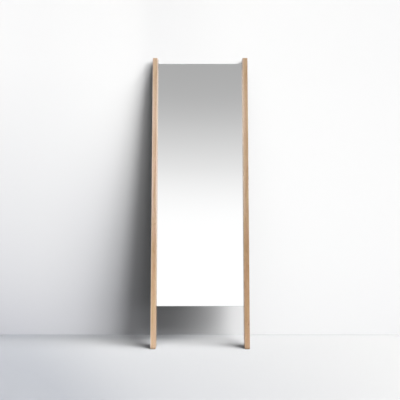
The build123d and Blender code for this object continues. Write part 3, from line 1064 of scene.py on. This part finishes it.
def near_lamp(name, place, radius, level, lit, shading):
    """A round lamp close by, as bright far from it as near it."""
    data = bpy.data.lights.new(name, "POINT")
    data.energy = 1.0
    data.shadow_soft_size = radius
    data.use_nodes = True
    tree = data.node_tree
    tree.nodes.clear()
    falloff = tree.nodes.new("ShaderNodeLightFalloff")
    strength = 4.0 * math.pi**2 * level / NEAR_LAMP_YIELD
    falloff.inputs["Strength"].default_value = strength
    glow = tree.nodes.new("ShaderNodeEmission")
    output = tree.nodes.new("ShaderNodeOutputLight")
    tree.links.new(falloff.outputs["Constant"], glow.inputs["Strength"])
    tree.links.new(glow.outputs[0], output.inputs["Surface"])
    obj = hang(name, data, lit, shading)
    obj.location = place
    obj.visible_camera = False
    obj.visible_glossy = False
    obj.visible_transmission = False


def pane_glow(name, low, high, level, lit):
    """A lamp flat on the pane, from low to high as measured up the post."""
    left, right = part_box("mirror_glass")
    outward = Vector(OUT_OF_THE_PANE)
    up = Vector((0.0, math.sin(LEAN), math.cos(LEAN)))
    toe = Vector((0.0, CAD_BOX[0][1], PAD_THICKNESS))
    data = bpy.data.lights.new(name, "AREA")
    data.shape = "RECTANGLE"
    data.size = right.x - left.x - 2.0 * GLOW_INSET
    data.size_y = high - low
    data.energy = level * math.pi * data.size * data.size_y
    obj = hang(name, data, lit, lit)
    obj.location = toe + up * (low + high) / 2 - outward * (PANE_RECESS - GLOW_GAP)
    obj.rotation_euler = outward.to_track_quat("-Z", "Y").to_euler()
    obj.visible_camera = False
    obj.visible_glossy = False


def group(name, objects):
    """A collection for lamps to light or be blocked by."""
    collection = bpy.data.collections.new(name)
    for obj in objects:
        collection.objects.link(obj)
    return collection


# Lamps for the mirror itself: name, azimuth, elevation, angle, level.
FRONT_LAMPS = (
    ("key_right", 48.0, 34.0, 40.0, 0.85),
    ("fill_left", -12.0, 12.0, 50.0, 0.40),
    ("side_right", 90.0, 0.0, 3.0, 0.42),
    ("side_left", -90.0, 0.0, 3.0, 0.42),
)
BACK_LAMPS = (
    ("back_right", 175.0, 18.0, 45.0, 0.58),
    ("back_left", -175.0, 18.0, 45.0, 0.58),
)

# Light that the pane throws on each post beside it, in equal steps upwards. The
# lamps start GLOW_FOOT up the post and each is GLOW_STEP long.
PANE_GLOW = {
    "left_post": (0.55, 0.68, 0.82, 0.95, 1.04, 1.06),
    "right_post": (0.30, 0.55, 1.00, 1.50, 2.05, 2.40),
}
GLOW_FOOT, GLOW_STEP = 0.260, 0.247
GLOW_INSET = 0.010  # from the pane's sides to the lamps on it
GLOW_GAP = 0.0006  # from the pane's face to the lamps on it
PANE_RECESS = 0.029  # from the posts' front faces back to the pane
PAD_THICKNESS = 0.003


def window_lamps(part, suns, lamps, lit, mirror, clear_of_post):
    """The far and near lamps of the window that lights the wall or the floor."""
    for i, (azimuth, elevation, level) in enumerate(suns):
        name = f"{part}_far_window_{i}"
        lamp(name, azimuth, elevation, SOFTNESS, level * WINDOW_LEVEL, lit, mirror)
    for i, (place, radius, level) in enumerate(lamps):
        # From the left, the right post would shade bare wall beside itself.
        blocked = mirror if place[0] > CAD_BOX[1][0] else clear_of_post
        name = f"{part}_near_window_{i}"
        near_lamp(name, place, radius, level * WINDOW_LEVEL, lit, blocked)


def mirror_lamps(mirror):
    """The lamps that light the mirror and not the room."""
    posts = group("posts_only", [NODES[post] for post in POSTS])
    others = group("all_but_posts", [NODES[n] for n in NODES if n not in POSTS])
    for name, azimuth, elevation, angle, level in FRONT_LAMPS:
        soft = lamp(name, azimuth, elevation, angle, level, mirror, mirror)
        soft.visible_glossy = False
    # Only the rails, board and fittings show a gleam of the lamps behind.
    for name, azimuth, elevation, angle, level in BACK_LAMPS:
        soft = lamp(name, azimuth, elevation, angle, level, posts, mirror)
        soft.visible_glossy = False
        lamp(name + "_gleam", azimuth, elevation, angle, level, others, mirror)
    for post, levels in PANE_GLOW.items():
        lit = group(post + "_only", [NODES[post]])
        for i, level in enumerate(levels):
            low = GLOW_FOOT + i * GLOW_STEP
            pane_glow(f"pane_glow_{post}_{i}", low, low + GLOW_STEP, level, lit)


def set_camera(scene):
    look = settings().room
    lens = bpy.data.cameras.new("camera")
    lens.lens = look.lens
    lens.sensor_width = SENSOR_WIDTH
    lens.clip_end = VIEW_REACH
    camera = bpy.data.objects.new("camera", lens)
    camera.location = (look.eye_side, -look.eye_distance, look.eye_height)
    camera.rotation_euler = (math.pi / 2 - look.eye_pitch, 0.0, 0.0)
    scene.collection.objects.link(camera)
    scene.camera = camera


class MIRROR_OT_room(bpy.types.Operator):
    """Builds the wall, floor, lamps and camera"""

    bl_idname = "floor_mirror.room"
    bl_label = "Room, lamps and camera"

    def execute(self, context):
        reach, back = ROOM_REACH, CAD_BOX[1][1] + WALL_GAP
        wall = plane(
            "wall",
            [(-reach, back, 0), (reach, back, 0), (reach, back, reach), (-reach, back, reach)],
        )
        floor = plane(
            "floor",
            [(-reach, -reach, 0), (reach, -reach, 0), (reach, reach, 0), (-reach, reach, 0)],
        )
        wall.data.materials.append(wall_paint())
        floor.data.materials.append(floor_paint())

        surroundings()
        mirror = group("mirror_pieces", NODES.values())
        wall_only = group("wall_only", [wall])
        floor_only = group("floor_only", [floor])
        clear_of_post = group("clear_of_right_post", [NODES[n] for n in NODES if n != POSTS[1]])
        window_lamps("wall", WALL_FAR, WALL_NEAR, wall_only, mirror, clear_of_post)
        window_lamps("floor", FLOOR_FAR, FLOOR_NEAR, floor_only, mirror, clear_of_post)
        mirror_lamps(mirror)

        set_camera(context.scene)
        context.scene.view_settings.view_transform = "Standard"
        return {"FINISHED"}


# --------------------------------------------------------------------- the add-on


class MIRROR_PT_sidebar(bpy.types.Panel):
    """Lists the mirror's steps in the order they are done"""

    bl_idname = "MIRROR_PT_sidebar"
    bl_label = "Floor Mirror"
    bl_space_type = "VIEW_3D"
    bl_region_type = "UI"
    bl_category = "Floor Mirror"

    def draw(self, context):
        column = self.layout.column(align=True)
        for step in STEPS:
            column.operator(step.bl_idname)


STEPS = (
    MIRROR_OT_room,
    MIRROR_OT_posts,
    MIRROR_OT_rails,
    MIRROR_OT_pane,
    MIRROR_OT_board,
    MIRROR_OT_metal,
    MIRROR_OT_dowels,
    MIRROR_OT_rubber,
)
GROUPS = (OakSettings, PaneSettings, FittingSettings, RoomSettings, MirrorSettings)
CLASSES = GROUPS + STEPS + (MIRROR_PT_sidebar,)


def register():
    for cls in CLASSES:
        bpy.utils.register_class(cls)
    bpy.types.Scene.floor_mirror = PointerProperty(type=MirrorSettings)


def unregister():
    del bpy.types.Scene.floor_mirror
    for cls in reversed(CLASSES):
        bpy.utils.unregister_class(cls)


def main():
    register()
    for step in STEPS:
        family, name = step.bl_idname.split(".")
        getattr(getattr(bpy.ops, family), name)()


if __name__ == "__main__":
    main()
